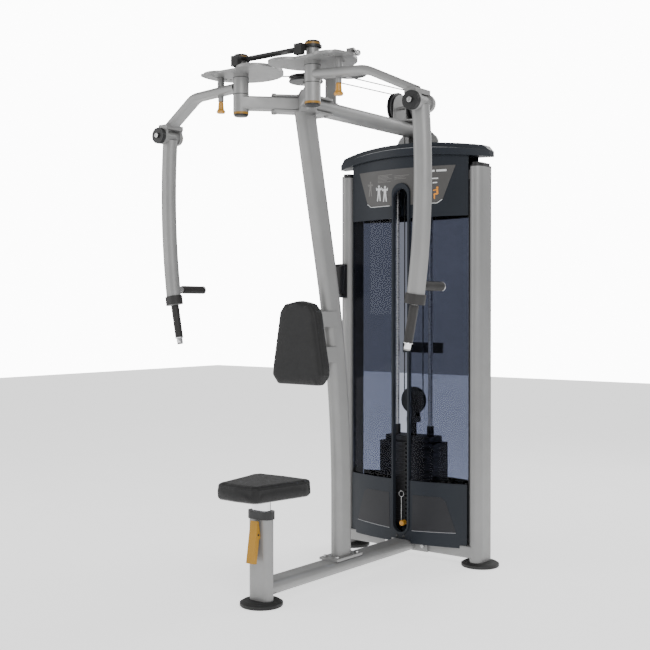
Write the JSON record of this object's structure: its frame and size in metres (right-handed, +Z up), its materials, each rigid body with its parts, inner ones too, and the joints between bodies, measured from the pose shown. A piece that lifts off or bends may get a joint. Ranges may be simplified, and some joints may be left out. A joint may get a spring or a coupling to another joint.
{
  "type": "pec deck machine",
  "caption": "Seated chest-fly and rear-delt machine: cam-driven overhead arms with grips, curved post, pads and an enclosed selectorised weight tower.",
  "frame": {"origin": "on the floor, in the middle of the bounding box", "axes": "+Z up, +Y from the seat towards the weight tower, +X across the machine, towards the right arm seen from behind the tower facing the seat's front"},
  "size_m": [1.2944, 1.298, 2.06],
  "materials": {
    "silver_paint": "satin powder coat",
    "graphite_plastic": "satin moulded",
    "black_plastic": "fine texture",
    "black_rubber": "moulded",
    "charcoal_vinyl": "grained vinyl",
    "bright_chrome": "polished",
    "bright_steel": "turned",
    "black_iron": "black enamel",
    "tinted_window": "smoked polycarbonate",
    "ochre_plastic": "moulded",
    "ochre_paint": "gloss",
    "black_cable": "nylon jacket",
    "placard_film": "printed film"
  },
  "bodies": {
    "frame": {"feet": "black_rubber", "column_left": "silver_paint", "column_right": "silver_paint", "column_caps": "black_plastic", "base_crossbeam": "silver_paint", "base_beam": "silver_paint", "seat_post": "silver_paint", "main_post": "silver_paint", "head_yoke": "silver_paint", "head_plates": "silver_paint", "pivot_shafts": "bright_steel", "pivot_rings": "ochre_plastic", "pivot_caps": "black_plastic", "tie_bar": "black_plastic", "frame_bolts": "bright_steel", "top_beam": "silver_paint", "tower_neck": "silver_paint", "top_pulley_bracket": "silver_paint", "guide_bracket": "silver_paint", "pulley_axles": "bright_steel", "cable_head": "black_cable", "cable_drops": "black_cable", "seat_collar": "black_plastic", "back_pad": "charcoal_vinyl", "back_pad_bracket": "silver_paint", "upper_shroud": "graphite_plastic", "lower_shroud": "graphite_plastic", "rear_shrouds": "graphite_plastic", "windows": "tinted_window", "slot_guard": "black_plastic", "top_cap": "graphite_plastic", "inner_liners": "black_plastic", "placard": "placard_film", "guide_rods": "bright_chrome", "rubber_stops": "black_rubber", "bottle_holder": "black_plastic"},
    "stack": {"weight_plates": "black_iron", "selector_stem": "bright_steel", "stack_pulley_bracket": "black_iron"},
    "stack_wheel": {"stack_pulley": "black_plastic"},
    "weight_pin": {"weight_pin": "ochre_plastic"},
    "cam_left": {"cam_left": "silver_paint"},
    "arm_left": {"upper_arm_left": "silver_paint", "knuckle_bolt_left": "black_plastic"},
    "swing_left": {"lower_arm_left": "silver_paint", "grips_left": "black_rubber"},
    "pop_pin_left": {"pop_pin_left": "ochre_plastic"},
    "top_wheel_left": {"top_pulley_left": "black_plastic"},
    "guide_wheel_left": {"guide_pulley_left": "black_plastic"},
    "cam_right": {"cam_right": "silver_paint"},
    "arm_right": {"upper_arm_right": "silver_paint", "knuckle_bolt_right": "black_plastic"},
    "swing_right": {"lower_arm_right": "silver_paint", "grips_right": "black_rubber"},
    "pop_pin_right": {"pop_pin_right": "ochre_plastic"},
    "top_wheel_right": {"top_pulley_right": "black_plastic"},
    "guide_wheel_right": {"guide_pulley_right": "black_plastic"},
    "seat": {"seat_carriage": "bright_chrome", "seat_pad": "charcoal_vinyl"},
    "seat_lever": {"seat_lever": "ochre_paint"}
  },
  "joints": [
    {"name": "weight_lift", "type": "slide", "parent": "frame", "child": "stack", "axis": [0, 0, 1], "range_m": [0, 0.17], "deforming": ["cable_drops"]},
    {"name": "stack_wheel_spin", "type": "hinge", "parent": "stack", "child": "stack_wheel", "pos_m": [0, 0.531, 0.687], "axis": [0, 1, 0], "continuous": true},
    {"name": "weight_pin_pull", "type": "slide", "parent": "stack", "child": "weight_pin", "axis": [0, -1, 0], "range_m": [0, 0.06]},
    {"name": "cam_turn_left", "type": "hinge", "parent": "frame", "child": "cam_left", "pos_m": [-0.174, -0.413, 1.99], "axis": [0, 0, 1], "range_deg": [0, 65]},
    {"name": "top_wheel_spin_left", "type": "hinge", "parent": "frame", "child": "top_wheel_left", "pos_m": [-0.0486, 0.4729, 1.971], "axis": [1, 0, 0], "range_deg": [-5, 172]},
    {"name": "guide_wheel_spin_left", "type": "hinge", "parent": "frame", "child": "guide_wheel_left", "pos_m": [-0.1067, -0.1, 2.01], "axis": [0, 0, -1], "range_deg": [-5, 172]},
    {"name": "arm_position_left", "type": "hinge", "parent": "cam_left", "child": "arm_left", "pos_m": [-0.174, -0.413, 1.94], "axis": [0, 0, 1], "range_deg": [-36, 24]},
    {"name": "arm_swing_left", "type": "hinge", "parent": "arm_left", "child": "swing_left", "pos_m": [-0.608, -0.366, 1.793], "axis": [0, 1, 0], "range_deg": [-10, 20]},
    {"name": "pop_pin_pull_left", "type": "slide", "parent": "arm_left", "child": "pop_pin_left", "axis": [0, 0, -1], "range_m": [0, 0.016], "stiffness_N_per_m": 600, "springref_m": -0.01},
    {"name": "cam_turn_right", "type": "hinge", "parent": "frame", "child": "cam_right", "pos_m": [0.174, -0.413, 1.99], "axis": [0, 0, -1], "range_deg": [0, 65]},
    {"name": "top_wheel_spin_right", "type": "hinge", "parent": "frame", "child": "top_wheel_right", "pos_m": [0.0486, 0.4729, 1.971], "axis": [1, 0, 0], "range_deg": [-5, 172]},
    {"name": "guide_wheel_spin_right", "type": "hinge", "parent": "frame", "child": "guide_wheel_right", "pos_m": [0.1067, -0.1, 2.01], "axis": [0, 0, 1], "range_deg": [-5, 172]},
    {"name": "arm_position_right", "type": "hinge", "parent": "cam_right", "child": "arm_right", "pos_m": [0.174, -0.413, 1.94], "axis": [0, 0, -1], "range_deg": [-36, 24]},
    {"name": "arm_swing_right", "type": "hinge", "parent": "arm_right", "child": "swing_right", "pos_m": [0.608, -0.366, 1.793], "axis": [0, -1, 0], "range_deg": [-10, 20]},
    {"name": "pop_pin_pull_right", "type": "slide", "parent": "arm_right", "child": "pop_pin_right", "axis": [0, 0, -1], "range_m": [0, 0.016], "stiffness_N_per_m": 600, "springref_m": -0.01},
    {"name": "seat_height", "type": "slide", "parent": "frame", "child": "seat", "axis": [0, 0, 1], "range_m": [0, 0.12]},
    {"name": "seat_lever_pull", "type": "hinge", "parent": "frame", "child": "seat_lever", "pos_m": [0, -0.534, 0.267], "axis": [-1, 0, 0], "range_deg": [0, 10], "stiffness_Nm_per_rad": 2, "springref_deg": -5.73}
  ],
  "couplings": [
    {"joint": "cam_turn_left", "follows": "weight_lift", "rad_per_m": 6.5574},
    {"joint": "top_wheel_spin_left", "follows": "weight_lift", "rad_per_m": 17.212},
    {"joint": "guide_wheel_spin_left", "follows": "weight_lift", "rad_per_m": 17.212},
    {"joint": "cam_turn_right", "follows": "weight_lift", "rad_per_m": 6.5574},
    {"joint": "top_wheel_spin_right", "follows": "weight_lift", "rad_per_m": 17.212},
    {"joint": "guide_wheel_spin_right", "follows": "weight_lift", "rad_per_m": 17.212}
  ]
}
